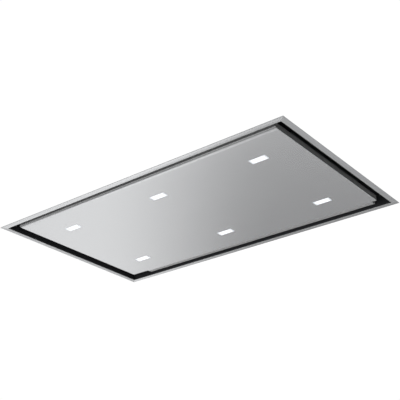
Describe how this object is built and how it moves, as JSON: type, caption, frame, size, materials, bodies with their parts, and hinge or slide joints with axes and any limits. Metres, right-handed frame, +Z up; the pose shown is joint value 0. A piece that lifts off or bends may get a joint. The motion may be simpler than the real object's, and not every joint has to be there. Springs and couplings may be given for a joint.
{
  "type": "ceiling range hood",
  "caption": "Flush ceiling range hood: stainless trim frame, hinged perimeter-suction panel with LED lamps, mesh grease filters, blower, damper and round duct outlet.",
  "frame": {"origin": "centre of the visible underside, in the plane of the trim frame's lower face", "axes": "+X along the long side, towards the duct outlet; +Y towards the panel's hinged edge; +Z up into the ceiling"},
  "size_m": [1.2, 0.7, 0.299],
  "materials": {
    "brushed_stainless": "long-grain brushed stainless steel sheet",
    "galvanised_steel": "hot-dip galvanised sheet, matt with a fine spangle",
    "black_powder_coat": "black powder coat, fine texture",
    "filter_aluminium": "bare rolled and expanded aluminium",
    "lamp_aluminium": "die-cast aluminium",
    "opal_diffuser": "opal diffuser, lit",
    "black_plastic": "moulded black plastic, fine texture",
    "grey_plastic": "moulded grey glass-filled plastic",
    "bright_steel": "zinc-plated turned steel"
  },
  "bodies": {
    "hood_body": {"ceiling_frame": "brushed_stainless", "cabinet_shell": "galvanised_steel", "cabinet_end_left": "galvanised_steel", "cabinet_end_right": "galvanised_steel", "hanger_bracket_left_front": "galvanised_steel", "hanger_bracket_left_rear": "galvanised_steel", "hanger_bracket_right_front": "galvanised_steel", "hanger_bracket_right_rear": "galvanised_steel", "hinge_bracket_left": "galvanised_steel", "hinge_bracket_right": "galvanised_steel", "motor_box": "galvanised_steel", "motor_box_cover": "galvanised_steel", "volute_scroll": "galvanised_steel", "volute_inlet_plate": "galvanised_steel", "motor_bracket": "galvanised_steel", "electronics_box": "galvanised_steel", "electronics_cover": "galvanised_steel", "suction_tray": "black_powder_coat", "motor": "black_powder_coat", "filter_frame_1": "filter_aluminium", "filter_frame_2": "filter_aluminium", "filter_frame_3": "filter_aluminium", "filter_mesh_1": "filter_aluminium", "filter_mesh_2": "filter_aluminium", "filter_mesh_3": "filter_aluminium", "led_driver": "lamp_aluminium", "catch_housing_left": "black_plastic", "catch_housing_right": "black_plastic", "duct_collar": "black_plastic", "cable_gland": "black_plastic", "hinge_pin_left": "bright_steel", "hinge_pin_right": "bright_steel", "damper_spindle": "bright_steel"},
    "hinged_panel": {"perimeter_panel": "brushed_stainless", "led_lens_1": "opal_diffuser", "led_lens_2": "opal_diffuser", "led_lens_3": "opal_diffuser", "led_lens_4": "opal_diffuser", "led_lens_5": "opal_diffuser", "led_lens_6": "opal_diffuser", "lamp_housing_1": "lamp_aluminium", "lamp_housing_2": "lamp_aluminium", "lamp_housing_3": "lamp_aluminium", "lamp_housing_4": "lamp_aluminium", "lamp_housing_5": "lamp_aluminium", "lamp_housing_6": "lamp_aluminium", "hinge_leaf_left": "galvanised_steel", "hinge_leaf_right": "galvanised_steel", "catch_striker_left": "galvanised_steel", "catch_striker_right": "galvanised_steel"},
    "impeller": {"impeller": "grey_plastic", "impeller_hub": "galvanised_steel", "motor_shaft": "bright_steel"},
    "damper_flap_left": {"damper_flap_left": "black_plastic"},
    "damper_flap_right": {"damper_flap_right": "black_plastic"},
    "filter_latch_1": {"filter_latch_1": "black_plastic"},
    "filter_latch_2": {"filter_latch_2": "black_plastic"},
    "filter_latch_3": {"filter_latch_3": "black_plastic"},
    "catch_plunger_left": {"catch_plunger_left": "bright_steel"},
    "catch_plunger_right": {"catch_plunger_right": "bright_steel"}
  },
  "joints": [
    {"name": "panel_hinge", "type": "hinge", "parent": "hood_body", "child": "hinged_panel", "pos_m": [0, 0.297, 0.026], "axis": [1, 0, 0], "range_deg": [0, 90]},
    {"name": "impeller_spin", "type": "hinge", "parent": "hood_body", "child": "impeller", "pos_m": [-0.06, -0.03, 0.185], "axis": [0, 0, 1], "continuous": true},
    {"name": "damper_left_swing", "type": "hinge", "parent": "hood_body", "child": "damper_flap_left", "pos_m": [0.2623, 0.09, 0.19], "axis": [0, 0, -1], "range_deg": [0, 75], "stiffness_Nm_per_rad": 0.02},
    {"name": "damper_right_swing", "type": "hinge", "parent": "hood_body", "child": "damper_flap_right", "pos_m": [0.2623, 0.09, 0.19], "axis": [0, 0, 1], "range_deg": [0, 75], "stiffness_Nm_per_rad": 0.02},
    {"name": "filter_latch_1_slide", "type": "slide", "parent": "hood_body", "child": "filter_latch_1", "axis": [0, 1, 0], "range_m": [0, 0.009], "stiffness_N_per_m": 150},
    {"name": "filter_latch_2_slide", "type": "slide", "parent": "hood_body", "child": "filter_latch_2", "axis": [0, 1, 0], "range_m": [0, 0.009], "stiffness_N_per_m": 150},
    {"name": "filter_latch_3_slide", "type": "slide", "parent": "hood_body", "child": "filter_latch_3", "axis": [0, 1, 0], "range_m": [0, 0.009], "stiffness_N_per_m": 150},
    {"name": "catch_plunger_left_press", "type": "slide", "parent": "hood_body", "child": "catch_plunger_left", "axis": [0, -1, 0], "range_m": [0, 0.0025], "stiffness_N_per_m": 400},
    {"name": "catch_plunger_right_press", "type": "slide", "parent": "hood_body", "child": "catch_plunger_right", "axis": [0, -1, 0], "range_m": [0, 0.0025], "stiffness_N_per_m": 400}
  ],
  "couplings": [
    {"joint": "damper_right_swing", "follows": "damper_left_swing", "ratio": 1}
  ]
}
